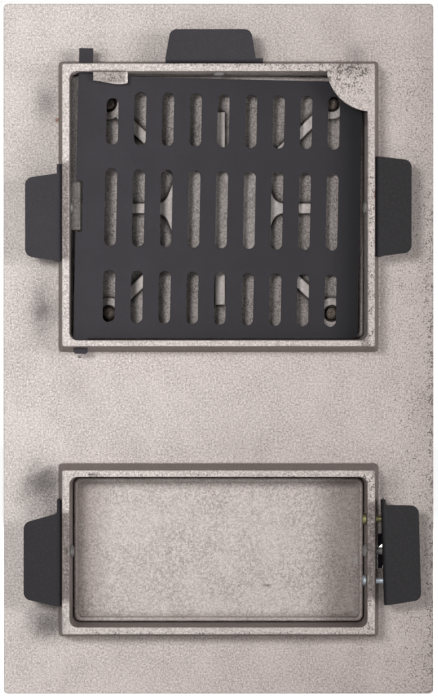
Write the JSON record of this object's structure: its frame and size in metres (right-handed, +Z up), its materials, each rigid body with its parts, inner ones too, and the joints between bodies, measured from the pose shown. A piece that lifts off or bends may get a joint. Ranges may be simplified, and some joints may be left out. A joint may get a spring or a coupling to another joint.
{
  "type": "stove door",
  "caption": "Cast-iron double stove door: fire door over ash door in one wall frame with rear collars, slotted swinging ember guard and bent wall anchors.",
  "frame": {"origin": "on the rear face of the frame plate, midway between its sides, at the middle of the band between the two collars", "axes": "+Z up; -Y to the room, so the doors open that way; +Y into the masonry, where the collars point; hinges at +X, latches at -X"},
  "size_m": [0.299, 0.0765, 0.48],
  "materials": {
    "bare_cast_iron": "bare sand-cast, light warm grey, finely grained",
    "door_cast_iron": "bare sand-cast, slightly browner",
    "liner_cast_iron": "bare sand-cast",
    "graphite_paint": "matt graphite stove paint",
    "guard_paint": "matt graphite stove paint on punched sheet",
    "steel_rivet": "dull steel, a little rust",
    "bright_steel": "turned steel",
    "yellow_zinc": "yellow-passivated zinc",
    "blue_zinc": "bright zinc",
    "black_screw": "black oxide"
  },
  "bodies": {
    "frame": {"frame": "bare_cast_iron", "anchor_hinge_upper": "graphite_paint", "anchor_hinge_lower": "graphite_paint", "anchor_latch_upper": "graphite_paint", "anchor_latch_lower": "graphite_paint", "anchor_top": "graphite_paint", "rivet_top": "steel_rivet", "rivet_hinge_upper": "steel_rivet", "rivet_hinge_lower": "steel_rivet", "rivet_latch_upper": "steel_rivet", "rivet_latch_lower": "steel_rivet", "loose_screw_1": "yellow_zinc", "loose_nut_1": "yellow_zinc", "loose_screw_2": "blue_zinc", "loose_nut_2": "blue_zinc", "fire_hinge_pin_lower": "bright_steel", "fire_hinge_pin_upper": "bright_steel", "ash_hinge_pin_lower": "bright_steel", "ash_hinge_pin_upper": "bright_steel"},
    "fire_door": {"fire_door": "door_cast_iron", "fire_door_liner": "liner_cast_iron", "liner_screw_1": "black_screw", "liner_screw_2": "black_screw", "liner_screw_3": "black_screw", "liner_screw_4": "black_screw", "fire_latch_screw": "bright_steel"},
    "ash_door": {"ash_door": "door_cast_iron", "ash_latch_screw": "bright_steel"},
    "ember_guard": {"ember_guard": "guard_paint"},
    "fire_latch": {"fire_latch_lever": "graphite_paint", "fire_latch_knob": "bright_steel"},
    "ash_latch": {"ash_latch_lever": "graphite_paint", "ash_latch_knob": "bright_steel"}
  },
  "joints": [
    {"name": "fire_door_swing", "type": "hinge", "parent": "frame", "child": "fire_door", "pos_m": [0.118, -0.014, 0.14], "axis": [0, 0, 1], "range_deg": [0, 135]},
    {"name": "ash_door_swing", "type": "hinge", "parent": "frame", "child": "ash_door", "pos_m": [0.118, -0.014, -0.098], "axis": [0, 0, 1], "range_deg": [0, 135]},
    {"name": "ember_guard_swing", "type": "hinge", "parent": "frame", "child": "ember_guard", "pos_m": [0.0933, 0.02, 0.1397], "axis": [-0.0192, 0, 0.9998], "range_deg": [0, 88]},
    {"name": "fire_latch_lift", "type": "hinge", "parent": "fire_door", "child": "fire_latch", "pos_m": [-0.097, -0.0143, 0.133], "axis": [0, 1, 0], "range_deg": [-45, 0]},
    {"name": "ash_latch_lift", "type": "hinge", "parent": "ash_door", "child": "ash_latch", "pos_m": [-0.097, -0.0143, -0.1065], "axis": [0, 1, 0], "range_deg": [-45, 0]}
  ],
  "couplings": [
    {"joint": "ember_guard_swing", "follows": "fire_door_swing", "ratio": 0.65}
  ]
}
